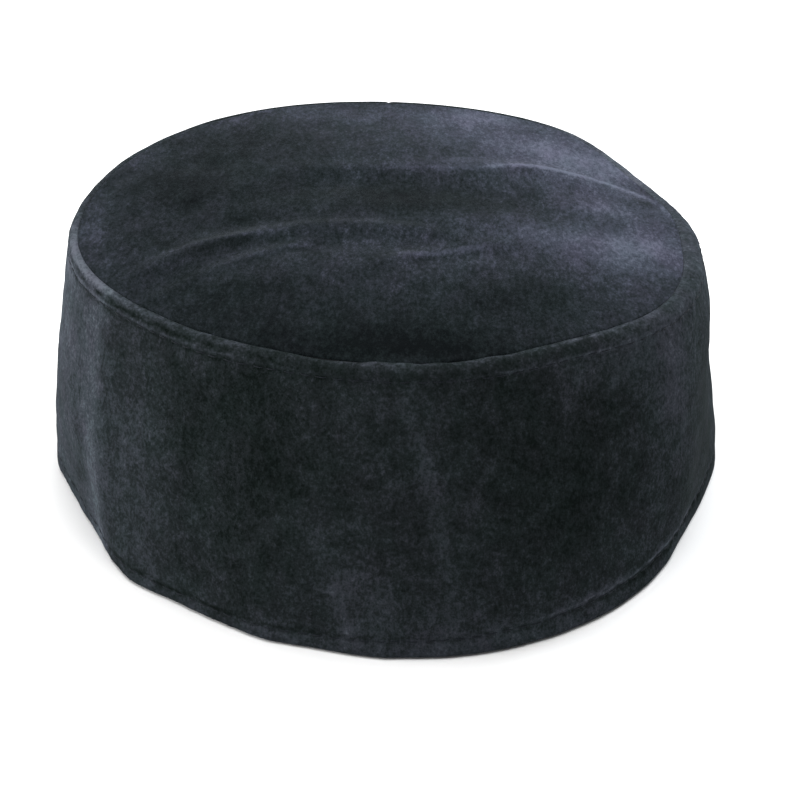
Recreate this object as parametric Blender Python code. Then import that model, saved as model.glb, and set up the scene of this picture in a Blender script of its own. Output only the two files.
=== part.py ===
"""A soft velvet pillbox prayer cap that stands on its rim: a round top panel sewn to a side band.

The front of the cap faces -Y. Azimuths are in degrees about +Z: 0 is the right side (+X), 90 the back,
180 the left side and 270 the front, with left and right as seen by someone who faces the cap's front.
The origin is on the ground, under the middle of the cap.
"""

import math
from collections import namedtuple

import bmesh
import bpy

MM = 0.001

# Main sizes in metres. The lower edge measures about 56 cm around.
RIM_RADIUS = 0.0900
RIM_OVAL = 0.0030
SEAM_RADIUS = 0.0750
SEAM_HEIGHT = 0.0660
CAP_CENTRE = (0.0004, 0.0011)

# Cloth of the side band
WALL = 0.0022
BELLY = 0.0012
SHOULDER_OUT = 0.0034
SHOULDER_LEAN = 0.0006
SHOULDER_DROP = 0.0043
LIP_THICKNESS = 0.0016
LIP_ROUND = 0.0004
STITCH_PINCH = 0.0003
STITCH_CLEARANCE = 0.0033
WALL_ROWS = 7

# Angles round the rolled edge, in degrees from the side to the seam. The stitch row at TOPSTITCH_ANGLE
# lies about 5 mm of cloth below the seam.
ROLL_ANGLES = (0, 14, 34, 55, 75)
TOPSTITCH_ANGLE = 14

# Turned hem round the lower edge
HEM_THICKNESS = 0.0032
HEM_DEPTH = 0.0120
HEM_STITCH_HEIGHT = 0.0055
HEM_ROUND = 0.0008

# Back seam, where the two ends of the band meet
BACK_SEAM_AZIMUTH = 90.0
BACK_SEAM_HALF_ANGLE = 0.7
BACK_SEAM_DEPTH = 0.0007

# Top panel
PANEL = 0.0016
SEWN_GAP = 0.0003
SEAM_TUCK = 0.0008
DOME = 0.0022
ALLOWANCE_DEPTH = 0.0090
ALLOWANCE_THICKNESS = 0.0012
UPPER_RINGS = 14
UNDER_RINGS = 5

# Powers that crowd the panel's rings towards the seam and that flatten its creases close to the seam
EDGE_CROWDING = 1.35
CALM_EDGE = 6

COLUMNS = 80

# Flats of the side between soft corners. Each is a straight line across the plan, seen from above, at a
# distance in millimetres from the middle, and it turns and moves from its rim values to its top ones.
# It counts for FLAT_REACH degrees each way from its middle.
Flat = namedtuple("Flat", "name rim_azimuth rim_distance top_azimuth top_distance")
FLATS = (
    Flat("left flat", 205, 84.2, 203, 82.0),
    Flat("left front flat", 236, 88.8, 244, 78.0),
    Flat("front flat", 258, 91.6, 264, 79.0),
    Flat("right front flat", 314, 90.6, 298, 79.0),
    Flat("right flat", 337, 85.6, 355, 76.6),
    Flat("rear right flat", 30, 87.0, 26, 73.4),
)
FLAT_REACH = 60

# How far the corners between the flats are rounded, in degrees each way, at the rim and at the top
RIM_ROUNDING = 6.0
TOP_ROUNDING = 12.0
ROUNDING_STEPS = 4

# Bulges and hollows of the side. spread is the half width in degrees, and the pushes are millimetres
# outward at the rim and at the top.
Bulge = namedtuple("Bulge", "name azimuth spread rim_push top_push")
BULGES = (
    Bulge("left edge corner", 198, 20, 0.5, 2.4),
    Bulge("left front hollow", 250, 34, 0.0, -3.0),
    Bulge("front bulge", 292, 27, 2.8, 0.0),
    Bulge("right front corner", 324, 16, 0.0, 3.2),
    Bulge("right front rim", 319, 9, -0.8, 0.0),
    Bulge("right rim", 357, 11, -0.8, 0.0),
    Bulge("rear right corner", 6, 9, 0.0, -1.4),
    Bulge("rear right swell", 37, 10, 0.0, 0.6),
    Bulge("back hollow", 82, 36, -0.6, -2.6),
    Bulge("left rear hollow", 142, 30, -0.6, -1.2),
)

# Places where the side is fuller than its flats and bulges make it. height is millimetres above the
# ground, reach the half height in millimetres, spread the half width in degrees, and push is
# millimetres outward.
Puff = namedtuple("Puff", "name azimuth height spread reach push")
PUFFS = (
    Puff("full right shoulder", 350, 51, 22, 15, 2.1),
)

# Places where the seam stands higher or lower than its mean height, in millimetres
Lift = namedtuple("Lift", "name azimuth spread rise")
LIFTS = (
    Lift("left side stands up", 175, 60, 1.2),
    Lift("right side sinks", 350, 40, -1.2),
    Lift("rear right sinks", 38, 32, -2.6),
    Lift("back sinks", 90, 34, -1.3),
    Lift("right shoulder sinks", 16, 12, -1.0),
    Lift("right front stands up", 303, 14, 0.8),
)

# Creases of the top panel. Each is a soft line from start to end, bowed to the rear by bend, with a
# height that fades away over width. A negative height is a hollow. All in millimetres.
Crease = namedtuple("Crease", "name start_x start_y end_x end_y bend height width")
CREASES = (
    Crease("left pull line", -62, -38, 4, -12, 11, 0.7, 3.5),
    Crease("hollow before the left pull line", -58, -46, 8, -20, 11, -0.5, 6.0),
    Crease("short pull line", -49, -40, -20, -18, 2, 0.4, 2.5),
    Crease("middle pull line", 2, -27, 26, -20, 1, 0.4, 3.0),
    Crease("rear ridge, left part", -16, 23, 18, 23.5, 0, 0.7, 4.5),
    Crease("rear ridge, right part", 38, 26, 73, -3, 6.2, 0.9, 4.5),
    Crease("hollow before the rear ridge", -10, 14, 62, -22, 13, -0.7, 9.0),
)


def clear_scene():
    for item in list(bpy.data.objects):
        bpy.data.objects.remove(item, do_unlink=True)


def velvet(name, colour):
    """Matt cloth with the soft edge shine of a cut pile."""
    material = bpy.data.materials.new(name)
    material.use_nodes = True
    shader = material.node_tree.nodes["Principled BSDF"]
    shader.inputs["Base Color"].default_value = (*colour, 1.0)
    shader.inputs["Roughness"].default_value = 0.9
    shader.inputs["Metallic"].default_value = 0.0
    shader.inputs["Sheen Weight"].default_value = 0.6
    return material


def turn_between(azimuth, centre):
    """Signed angle in degrees from centre to azimuth, between -180 and 180."""
    return (azimuth - centre + 180.0) % 360.0 - 180.0


def bump(distance, spread):
    return math.exp(-((distance / spread) ** 2))


def mix(low, high, share):
    return low + (high - low) * share


def roll_width(azimuth):
    """How far the rolled edge stands outside the seam."""
    return SHOULDER_OUT + SHOULDER_LEAN * math.cos(math.radians(azimuth))


def cornered_radius(azimuth, share):
    """Radius in millimetres of the side's plan, before its corners are rounded."""
    rim = RIM_RADIUS - RIM_OVAL * math.cos(2 * math.radians(azimuth))
    radius = mix(rim, SEAM_RADIUS + roll_width(azimuth), share) / MM
    for flat in FLATS:
        centre = flat.rim_azimuth + turn_between(flat.top_azimuth, flat.rim_azimuth) * share
        turn = turn_between(azimuth, centre)
        if abs(turn) < FLAT_REACH:
            distance = mix(flat.rim_distance, flat.top_distance, share)
            radius = min(radius, distance / math.cos(math.radians(turn)))
    return radius


def plan_radius(azimuth, share):
    """Radius of the side's plan at a share of the way up from the rim to the rolled edge."""
    rounding = mix(RIM_ROUNDING, TOP_ROUNDING, share)
    total = 0.0
    weights = 0.0
    for step in range(1 - ROUNDING_STEPS, ROUNDING_STEPS):
        weight = ROUNDING_STEPS - abs(step)
        total += weight * cornered_radius(azimuth + rounding * step / ROUNDING_STEPS, share)
        weights += weight
    radius = total / weights
    for bulge in BULGES:
        push = mix(bulge.rim_push, bulge.top_push, share)
        radius += push * bump(turn_between(azimuth, bulge.azimuth), bulge.spread)
    return radius * MM


def puff_push(azimuth, height):
    """Outward push in metres of all puffs, at a height in metres."""
    total = 0.0
    for puff in PUFFS:
        level = bump(height / MM - puff.height, puff.reach)
        total += puff.push * level * bump(turn_between(azimuth, puff.azimuth), puff.spread)
    return total * MM


def seam_radius(azimuth):
    return plan_radius(azimuth, 1.0) - roll_width(azimuth)


def seam_height(azimuth):
    rise = sum(lift.rise * bump(turn_between(azimuth, lift.azimuth), lift.spread) for lift in LIFTS)
    return SEAM_HEIGHT + rise * MM


def back_seam_groove(azimuth):
    return -BACK_SEAM_DEPTH if azimuth == BACK_SEAM_AZIMUTH else 0.0


def wall_radius(azimuth, height):
    """Outer radius of the side at a height below the rolled edge, without stitch lines."""
    share = height / (seam_height(azimuth) - SHOULDER_DROP)
    belly = BELLY * 4 * share * (1 - share)
    return plan_radius(azimuth, share) + belly + puff_push(azimuth, height)


def band_outer(azimuth):
    """Points of the outer side as (radius, height), from the ground up to the lip at the seam."""
    seam = seam_radius(azimuth)
    top = seam_height(azimuth)
    shoulder = top - SHOULDER_DROP
    groove = back_seam_groove(azimuth)
    points = [
        (wall_radius(azimuth, 0.0) - HEM_ROUND, 0.0),
        (wall_radius(azimuth, HEM_ROUND), HEM_ROUND),
        (wall_radius(azimuth, HEM_STITCH_HEIGHT) - STITCH_PINCH, HEM_STITCH_HEIGHT),
    ]
    first = HEM_STITCH_HEIGHT + STITCH_CLEARANCE
    last = shoulder - STITCH_CLEARANCE
    for row in range(WALL_ROWS):
        height = mix(first, last, row / (WALL_ROWS - 1))
        points.append((wall_radius(azimuth, height), height))
    for degrees in ROLL_ANGLES:
        angle = math.radians(degrees)
        pinch = STITCH_PINCH if degrees == TOPSTITCH_ANGLE else 0.0
        radius = mix(seam, wall_radius(azimuth, shoulder), math.cos(angle)) - pinch
        points.append((radius, shoulder + SHOULDER_DROP * math.sin(angle)))
    points.append((seam + LIP_ROUND, top))
    return [(radius + groove, height) for radius, height in points]


def band_inner(azimuth):
    """Points of the inner side as (radius, height), from the lip down to the ground."""
    seam = seam_radius(azimuth)
    top = seam_height(azimuth)
    shoulder = top - SHOULDER_DROP
    under_roll = wall_radius(azimuth, shoulder) - WALL
    points = [
        (seam, top - LIP_ROUND),
        (seam, top - LIP_THICKNESS),
        (mix(seam, under_roll, 0.5), top - mix(LIP_THICKNESS, SHOULDER_DROP, 0.5)),
        (under_roll, shoulder),
    ]
    first = top - ALLOWANCE_DEPTH
    last = HEM_DEPTH + HEM_ROUND
    for row in range(WALL_ROWS):
        height = mix(first, last, row / (WALL_ROWS - 1))
        points.append((wall_radius(azimuth, height) - WALL, height))
    points.append((wall_radius(azimuth, HEM_DEPTH) - HEM_THICKNESS, HEM_DEPTH))
    points.append((wall_radius(azimuth, HEM_ROUND) - HEM_THICKNESS, HEM_ROUND))
    points.append((wall_radius(azimuth, 0.0) - HEM_THICKNESS + HEM_ROUND, 0.0))
    return points


def band_azimuths():
    """Even columns, with close ones at the back seam for its groove."""
    even = [360.0 * column / COLUMNS for column in range(COLUMNS)]
    close = [BACK_SEAM_AZIMUTH - BACK_SEAM_HALF_ANGLE, BACK_SEAM_AZIMUTH + BACK_SEAM_HALF_ANGLE]
    return sorted(set(even + [BACK_SEAM_AZIMUTH] + close))


def placed(azimuth, radius, height):
    angle = math.radians(azimuth)
    return (
        CAP_CENTRE[0] + radius * math.cos(angle),
        CAP_CENTRE[1] + radius * math.sin(angle),
        height,
    )


def bridge_columns(mesh, columns, closed_rows):
    """Joins neighbouring columns of vertices by quads, all the way round."""
    rows = len(columns[0])
    last = rows if closed_rows else rows - 1
    for index, column in enumerate(columns):
        following = columns[(index + 1) % len(columns)]
        for row in range(last):
            above = (row + 1) % rows
            mesh.faces.new((column[row], following[row], following[above], column[above]))


def finished(name, mesh, material):
    bmesh.ops.recalc_face_normals(mesh, faces=mesh.faces)
    data = bpy.data.meshes.new(name)
    mesh.to_mesh(data)
    mesh.free()
    data.shade_smooth()
    data.materials.append(material)
    piece = bpy.data.objects.new(name, data)
    bpy.context.collection.objects.link(piece)
    return piece


def side_band(material):
    mesh = bmesh.new()
    columns = []
    for azimuth in band_azimuths():
        profile = band_outer(azimuth) + band_inner(azimuth)
        columns.append([mesh.verts.new(placed(azimuth, *point)) for point in profile])
    bridge_columns(mesh, columns, closed_rows=True)
    return finished("side_band", mesh, material)


def crease_height(x, y):
    """Height in metres that the creases add to the top panel at a point given in metres."""
    total = 0.0
    for crease in CREASES:
        along_x = crease.end_x - crease.start_x
        along_y = crease.end_y - crease.start_y
        length = math.hypot(along_x, along_y)
        from_x = x / MM - crease.start_x
        from_y = y / MM - crease.start_y
        share = (from_x * along_x + from_y * along_y) / length**2
        aside = (along_x * from_y - along_y * from_x) / length
        bow = 4 * crease.bend * share * (1 - share)
        beyond = max(0.0, -share, share - 1) * length
        total += crease.height * bump(aside - bow, crease.width) * bump(beyond, crease.width * 2)
    return total * MM


def panel_height(azimuth, share):
    """Height of the panel's upper side at a share of the way from its middle to the seam."""
    edge = seam_height(azimuth)
    radius = seam_radius(azimuth) * share
    angle = math.radians(azimuth)
    creases = crease_height(radius * math.cos(angle), radius * math.sin(angle))
    calm_edge = 1 - share**CALM_EDGE
    base = mix(SEAM_HEIGHT, edge, share**2) + DOME * (1 - share**2)
    return base + creases * calm_edge


def ring_shares(count):
    """Shares of the way out from the middle of the panel, closer together near the seam."""
    return [1 - (ring / count) ** EDGE_CROWDING for ring in range(count - 1, 0, -1)]


def panel_profile(azimuth):
    """One column of the top panel: its upper side from near the middle out, the turned down seam
    allowance, and its under side back to near the middle."""
    seam = seam_radius(azimuth)
    top = seam_height(azimuth)
    shoulder = top - SHOULDER_DROP
    edge = seam - SEWN_GAP
    under_roll = wall_radius(azimuth, shoulder) - WALL - SEWN_GAP
    points = []
    for share in ring_shares(UPPER_RINGS):
        points.append((seam * share, panel_height(azimuth, share)))
    points += [
        (edge, top - SEAM_TUCK),
        (edge, top - LIP_THICKNESS - SEWN_GAP),
        (under_roll, shoulder - SEWN_GAP),
    ]
    hidden_edge = top - ALLOWANCE_DEPTH
    hidden_radius = wall_radius(azimuth, hidden_edge) - WALL - SEWN_GAP
    points += [
        (hidden_radius, hidden_edge),
        (hidden_radius - ALLOWANCE_THICKNESS, hidden_edge),
        (under_roll - ALLOWANCE_THICKNESS, shoulder - SEWN_GAP),
        (edge - ALLOWANCE_THICKNESS, top - LIP_THICKNESS - SEWN_GAP - PANEL),
    ]
    for share in reversed(ring_shares(UNDER_RINGS)):
        points.append((seam * share, panel_height(azimuth, share) - PANEL))
    return points


def crown_tip(material):
    mesh = bmesh.new()
    columns = []
    for column in range(COLUMNS):
        azimuth = 360.0 * column / COLUMNS
        profile = panel_profile(azimuth)
        columns.append([mesh.verts.new(placed(azimuth, *point)) for point in profile])
    bridge_columns(mesh, columns, closed_rows=False)
    upper = mesh.verts.new(placed(0.0, 0.0, panel_height(0.0, 0.0)))
    under = mesh.verts.new(placed(0.0, 0.0, panel_height(0.0, 0.0) - PANEL))
    for index, column in enumerate(columns):
        following = columns[(index + 1) % len(columns)]
        mesh.faces.new((upper, following[0], column[0]))
        mesh.faces.new((under, column[-1], following[-1]))
    return finished("crown_tip", mesh, material)


def build():
    clear_scene()
    side_band(velvet("velvet_side", (0.016, 0.018, 0.021)))
    crown_tip(velvet("velvet_top", (0.019, 0.021, 0.026)))


build()
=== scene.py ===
"""Velvet prayer cap: the cloth, its seams, stitches and pile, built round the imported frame.

The front of the cap faces -Y. Azimuths are in degrees about +Z: 0 is the right side (+X), 90 the back,
180 the left side and 270 the front. Lengths are in metres unless a comment says millimetres.
"""

import math
from collections import namedtuple

import bpy
import numpy as np
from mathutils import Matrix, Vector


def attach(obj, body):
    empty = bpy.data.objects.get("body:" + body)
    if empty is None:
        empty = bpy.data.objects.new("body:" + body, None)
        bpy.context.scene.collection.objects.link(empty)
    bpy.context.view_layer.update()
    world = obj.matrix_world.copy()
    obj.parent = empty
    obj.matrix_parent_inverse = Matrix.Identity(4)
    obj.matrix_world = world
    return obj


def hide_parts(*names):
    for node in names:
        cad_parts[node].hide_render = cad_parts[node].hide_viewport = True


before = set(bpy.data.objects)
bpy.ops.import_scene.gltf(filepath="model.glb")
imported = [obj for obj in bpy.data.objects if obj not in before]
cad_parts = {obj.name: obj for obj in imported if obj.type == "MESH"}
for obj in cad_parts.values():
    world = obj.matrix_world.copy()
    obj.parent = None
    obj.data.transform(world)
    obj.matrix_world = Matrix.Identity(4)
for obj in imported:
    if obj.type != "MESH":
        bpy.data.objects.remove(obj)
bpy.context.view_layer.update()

MM = 0.001

# The frame's own sizes, repeated here
RIM_RADIUS = 0.0900
RIM_OVAL = 0.0030
SEAM_RADIUS = 0.0750
SEAM_HEIGHT = 0.0660
CAP_CENTRE = (0.0004, 0.0011)
WALL = 0.0022
BELLY = 0.0012
SHOULDER_OUT = 0.0034
SHOULDER_LEAN = 0.0006
SHOULDER_DROP = 0.0043
HEM_THICKNESS = 0.0032
HEM_DEPTH = 0.0120
BACK_SEAM_AZIMUTH = 90.0
PANEL = 0.0016
SEWN_GAP = 0.0003
DOME = 0.0022
ALLOWANCE_DEPTH = 0.0090
ALLOWANCE_THICKNESS = 0.0012
CALM_EDGE = 6
RIM_ROUNDING = 6.0
TOP_ROUNDING = 12.0
ROUNDING_STEPS = 4
FLAT_REACH = 60

# Straight stretches of the side's plan, at azimuths in degrees and distances in millimetres from the middle
Flat = namedtuple("Flat", "name rim_azimuth rim_distance top_azimuth top_distance")
FLATS = (
    Flat("left flat", 205, 84.2, 203, 82.0),
    Flat("left front flat", 236, 88.8, 244, 78.0),
    Flat("front flat", 258, 91.6, 264, 79.0),
    Flat("right front flat", 314, 90.6, 298, 79.0),
    Flat("right flat", 337, 85.6, 355, 76.6),
    Flat("rear right flat", 30, 87.0, 26, 73.4),
)

# Places where the side's plan is pushed out or in, in millimetres at the rim and at the top
Bulge = namedtuple("Bulge", "name azimuth spread rim_push top_push")
BULGES = (
    Bulge("left edge corner", 198, 20, 0.5, 2.4),
    Bulge("left front hollow", 250, 34, 0.0, -3.0),
    Bulge("front bulge", 292, 27, 2.8, 0.0),
    Bulge("right front corner", 324, 16, 0.0, 3.2),
    Bulge("right front rim", 319, 9, -0.8, 0.0),
    Bulge("right rim", 357, 11, -0.8, 0.0),
    Bulge("rear right corner", 6, 9, 0.0, -1.4),
    Bulge("rear right swell", 37, 10, 0.0, 0.6),
    Bulge("back hollow", 82, 36, -0.6, -2.6),
    Bulge("left rear hollow", 142, 30, -0.6, -1.2),
)

# Places where the side swells at one height, in millimetres, with half widths
Puff = namedtuple("Puff", "name azimuth height spread reach push")
PUFFS = (
    Puff("full right shoulder", 350, 51, 22, 15, 2.1),
)

# Places where the upper edge stands higher or sinks, in millimetres
Lift = namedtuple("Lift", "name azimuth spread rise")
LIFTS = (
    Lift("left side stands up", 175, 60, 1.2),
    Lift("right side sinks", 350, 40, -1.2),
    Lift("rear right sinks", 38, 32, -2.6),
    Lift("back sinks", 90, 34, -1.3),
    Lift("right shoulder sinks", 16, 12, -1.0),
    Lift("right front stands up", 303, 14, 0.8),
)

# Soft creases of the top panel, in millimetres from its middle. bend is how far the crease bows sideways.
Crease = namedtuple("Crease", "name start_x start_y end_x end_y bend height width")
CREASES = (
    Crease("left pull line", -62, -38, 4, -12, 11, 0.7, 3.5),
    Crease("hollow before the left pull line", -58, -46, 8, -20, 11, -0.5, 6.0),
    Crease("short pull line", -49, -40, -20, -18, 2, 0.4, 2.5),
    Crease("middle pull line", 2, -27, 26, -20, 1, 0.4, 3.0),
    Crease("rear ridge, left part", -16, 23, 18, 23.5, 0, 0.4, 5.0),
    Crease("rear ridge, right part", 38, 26, 73, -3, 6.2, 0.9, 4.5),
    Crease("hollow before the rear ridge", -10, 14, 62, -22, 13, -0.7, 9.0),
)

# Crests along the pull lines of the top, through points in millimetres from its middle. Each crest gets a
# painted highlight of pale, and the cloth just before it a painted shade of shade. fade_in and fade_out are
# the lengths over which the two ends die away.
PullLine = namedtuple("PullLine", "name points height width pale shade fade_in fade_out")
PULL_LINES = (
    PullLine(
        "left pull line",
        ((-59, -36), (-53, -25.6), (-47.3, -20.4), (-41.4, -17.9), (-31, -14.4), (-23, -13)),
        0.16, 1.3, 0.38, 0.24, 30, 8,
    ),
    PullLine(
        "left pull line, faint end",
        ((-25, -13.2), (-12, -12.6), (3, -14)),
        0.05, 1.0, 0.08, 0.06, 8, 12,
    ),
    PullLine(
        "short pull line",
        ((-50, -40), (-38.9, -30), (-30, -24.6), (-22.6, -20.2), (-14, -21.4)),
        0.10, 1.2, 0.30, 0.14, 26, 6,
    ),
    PullLine(
        "middle pull line",
        ((2, -26.8), (14.7, -24), (26, -20.6)),
        0.12, 1.4, 0.52, 0.24, 6, 6,
    ),
    PullLine(
        "rear ridge",
        ((-15, 23), (3.4, 23.4), (20.3, 23.6), (28, 25), (37.4, 26.4), (47.7, 24.6), (57.6, 20.8),
         (64.8, 16), (69.6, 9.5), (73, -1)),
        0.16, 1.3, 0.50, 0.06, 50, 10,
    ),
)
# How far before a crest its painted shade lies, in millimetres
SHADE_AHEAD = 2.2
# Short straight steps that a pull line has between two of its points
COURSE_STEPS = 6

# Stitch rows, and how the cloth is drawn in along them. The upper row lies on the rolled edge, at an angle
# in degrees from the side.
TOPSTITCH_ANGLE = 14.0
HEM_STITCH_HEIGHT = 0.0055
HEM_STITCH_DIP = 0.0022
STITCH_PITCH = 0.0037
STITCH_LENGTH = 0.0029
THREAD_RADIUS = 0.00014
THREAD_LIFT = 0.00004
THREAD_DIVE = 0.00022
THREAD_TAPER = 0.45
STITCH_STRAY = 0.12
STITCH_TILT = 0.00012
SHORTEST_STITCH = 0.93
LONGEST_STITCH = 1.05
ROW_STATIONS = np.arange(720) * 0.5
TOP_VALLEY = 0.00034
HEM_VALLEY = 0.00030
VALLEY_WIDTH = 0.00085
VALLEY_BEAT = 0.22
TOP_VALLEY_REACH = 0.0040
PUCKER = 0.00009
PUCKER_REACH = 0.0035
PUCKER_LENGTH = 0.0050
HEM_LOW_AZIMUTH = 240.0
HEM_LOW_SPREAD = 40.0

# Swelling of the hem between its stitch row and the ground
HEM_SWELL = 0.00016
HEM_SWELL_HEIGHT = 0.0028
HEM_SWELL_REACH = 0.0018

# Seam between the top panel and the band: the welt's crest outside it, and the valley between them,
# which is shallow at the back and deep at the front
CREST_OUT = 0.0007
SEAM_DEPTH_BACK = 0.0001
SEAM_DEPTH_FRONT = 0.00034
PANEL_EDGE = 0.0012
ROLL_SIZE = 0.0040

# Second soft crease along the welt, at an angle in degrees round the roll
WELT_CREASE = 0.00024
WELT_CREASE_AZIMUTH = 216.0
WELT_CREASE_SPREAD = 34.0
WELT_CREASE_ANGLE = 46.0
WELT_CREASE_WIDTH = 9.0
WELT_CREASE_WANDER = 5.0
WELT_CREASE_WAVE = 0.0075

# Places where the seam lies less deep than at the front
SeamRise = namedtuple("SeamRise", "azimuth spread share")
RIGHT_SEAM = SeamRise(356.0, 44.0, 0.85)
LEFT_SEAM = SeamRise(206.0, 28.0, 0.75)

# Back seam: its groove outside, its pressed allowance inside with a notch along the seam, and the step by
# which the panel's allowance gives way to it. Widths and edges are in degrees.
BACK_GROOVE = 0.0007
BACK_GROOVE_WIDTH = 0.42
BACK_FLAP = 0.0007
BACK_FLAP_WIDTH = 5.6
BACK_FLAP_EDGE = 0.36
BACK_NOTCH = 0.8
BACK_NOTCH_WIDTH = 0.35
PANEL_STEP = 0.0008
PANEL_STEP_WIDTH = 5.9
PANEL_STEP_EDGE = 0.3

# Folded lower edge of the cloth, outside and inside
FOOT_ROUND = 0.0013
HEEL_ROUND = 0.0012

# Ripples of the cloth, each with its height, the length of its waves and the seed of its chance
Ripple = namedtuple("Ripple", "height length seed")
SIDE_RIPPLES = (Ripple(0.00026, 0.030, 11), Ripple(0.00009, 0.010, 12))
WELT_LUMPS = (Ripple(0.00015, 0.0060, 14), Ripple(0.00014, 0.020, 15))
TOP_RIPPLES = (Ripple(0.00018, 0.026, 21), Ripple(0.00006, 0.009, 22))
SEAM_PUCKERS = (Ripple(0.00009, 0.0055, 23),)
RAGGED_EDGE = (Ripple(0.0004, 0.006, 24),)

# Levels of the cloth's inner bends, down from the seam or up from the ground
BAND_SEAM_FOOT = 0.0022
BAND_SEAM_BEND = 0.0032
PANEL_SEAM_FOOT = 0.0025
PANEL_SEAM_BEND = 0.0042
HEM_FOLD_ABOVE = 0.0006
HEM_FOLD_BELOW = 0.0002
HEM_LEVELS = (0.0085, HEM_STITCH_HEIGHT, 0.0030)

# Where the top's ripples calm down towards the seam, and where its puckers lie beside it
RIPPLE_CALM = 8
PUCKERS_FROM = 0.0015
PUCKERS_TO = 0.0060

# Mesh fineness: rows lie closer together near the hem's stitches, and towards the top panel's edge
COLUMNS = 600
PANEL_ROWS = 112
PANEL_SPACING = 0.94
UNDER_ROWS = 26
UNDER_SHARES = (0.955, 0.02)
NEAR_STITCHES = 0.0016
NEAR_SHOULDER = 0.0020


def turn_between(azimuth, centre):
    return (azimuth - centre + 180.0) % 360.0 - 180.0


def bump(distance, spread):
    return np.exp(-((distance / spread) ** 2))


def mix(low, high, share):
    return low + (high - low) * share


def roll_width(azimuth):
    return SHOULDER_OUT + SHOULDER_LEAN * np.cos(np.radians(azimuth))


def cornered_radius(azimuth, share):
    """Radius in millimetres of the side's plan, before its corners are rounded."""
    rim = RIM_RADIUS - RIM_OVAL * np.cos(2 * np.radians(azimuth))
    radius = mix(rim, SEAM_RADIUS + roll_width(azimuth), share) / MM
    for flat in FLATS:
        centre = flat.rim_azimuth + turn_between(flat.top_azimuth, flat.rim_azimuth) * share
        turn = turn_between(azimuth, centre)
        distance = mix(flat.rim_distance, flat.top_distance, share)
        near = np.abs(turn) < FLAT_REACH
        chord = distance / np.cos(np.radians(np.where(near, turn, 0.0)))
        radius = np.where(near, np.minimum(radius, chord), radius)
    return radius


def plan_radius(azimuth, share):
    rounding = mix(RIM_ROUNDING, TOP_ROUNDING, share)
    total = 0.0
    weights = 0.0
    for step in range(1 - ROUNDING_STEPS, ROUNDING_STEPS):
        weight = ROUNDING_STEPS - abs(step)
        total = total + weight * cornered_radius(azimuth + rounding * step / ROUNDING_STEPS, share)
        weights += weight
    radius = total / weights
    for bulge in BULGES:
        push = mix(bulge.rim_push, bulge.top_push, share)
        radius = radius + push * bump(turn_between(azimuth, bulge.azimuth), bulge.spread)
    return radius * MM


def puff_push(azimuth, height):
    total = 0.0
    for puff in PUFFS:
        level = bump(height / MM - puff.height, puff.reach)
        total = total + puff.push * level * bump(turn_between(azimuth, puff.azimuth), puff.spread)
    return total * MM


def seam_radius(azimuth):
    return plan_radius(azimuth, 1.0) - roll_width(azimuth)


def seam_height(azimuth):
    rise = sum(lift.rise * bump(turn_between(azimuth, lift.azimuth), lift.spread) for lift in LIFTS)
    return SEAM_HEIGHT + rise * MM


def wall_radius(azimuth, height):
    share = height / (seam_height(azimuth) - SHOULDER_DROP)
    belly = BELLY * 4 * share * (1 - share)
    return plan_radius(azimuth, share) + belly + puff_push(azimuth, height)


def placed(azimuth, radius, height):
    angle = np.radians(azimuth)
    return np.stack(
        [
            CAP_CENTRE[0] + radius * np.cos(angle),
            CAP_CENTRE[1] + radius * np.sin(angle),
            height + 0.0 * radius,
        ],
        axis=-1,
    )


def waves(points, length, seed):
    """Smooth even noise between about -1 and 1, with humps of roughly the given length."""
    chance = np.random.default_rng(seed)
    total = np.zeros(points.shape[:-1])
    count = 9
    for _ in range(count):
        way = chance.normal(size=3)
        way *= 2 * math.pi / (np.linalg.norm(way) * length * chance.uniform(0.7, 1.5))
        total += np.cos(points @ way + chance.uniform(0, 2 * math.pi))
    return total * math.sqrt(2.0 / count) / 1.4


def rippled(points, ripples):
    return sum(ripple.height * waves(points, ripple.length, ripple.seed) for ripple in ripples)


# Folds and dents of the side that only show in the cloth. tilt moves a fold sideways from the ground to
# the seam, in degrees; spread is its half width in degrees and push its height in millimetres. low and high
# are the heights in millimetres where it dies away, over the lengths named under the table.
Fold = namedtuple("Fold", "name azimuth tilt spread low high push")
FOLDS = (
    Fold("left corner fold", 219, -5, 3.2, 2, 62, 0.50),
    Fold("hollow beside the left corner", 228, -4, 6.0, 4, 58, -0.35),
    Fold("front streak fold", 277, -4, 3.0, 14, 50, 0.18),
    Fold("right soft fold", 338, 3, 4.0, 6, 52, 0.30),
    Fold("rear left fold", 150, 6, 5.0, 4, 56, 0.40),
    Fold("rear right fold", 55, -5, 5.0, 6, 54, 0.35),
)
FOLD_FADE_LOW = 2.0
FOLD_FADE_HIGH = 3.0


def fold_push(azimuth, height):
    total = 0.0
    for fold in FOLDS:
        level = height / MM
        centre = fold.azimuth + fold.tilt * height / SEAM_HEIGHT
        fade_low = 1 / (1 + np.exp(-(level - fold.low) / FOLD_FADE_LOW))
        fade = fade_low / (1 + np.exp((level - fold.high) / FOLD_FADE_HIGH))
        total = total + fold.push * fade * bump(turn_between(azimuth, centre), fold.spread)
    return total * MM


def row_travel(azimuth, radius):
    """Distance along a closed stitch row, at each of its azimuths and once round."""
    line = placed(azimuth, radius, 0.0)
    step = np.linalg.norm(np.diff(np.vstack([line, line[:1]]), axis=0), axis=1)
    return np.concatenate([[0.0], np.cumsum(step)])


def top_row_radius(azimuth):
    return wall_radius(azimuth, seam_height(azimuth) - SHOULDER_DROP)


def hem_row_height(azimuth):
    """Height of the hem's stitch row, which runs lower on the left front."""
    return HEM_STITCH_HEIGHT - HEM_STITCH_DIP * bump(turn_between(azimuth, HEM_LOW_AZIMUTH), HEM_LOW_SPREAD)


def hem_row_radius(azimuth):
    return wall_radius(azimuth, HEM_STITCH_HEIGHT)


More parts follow.
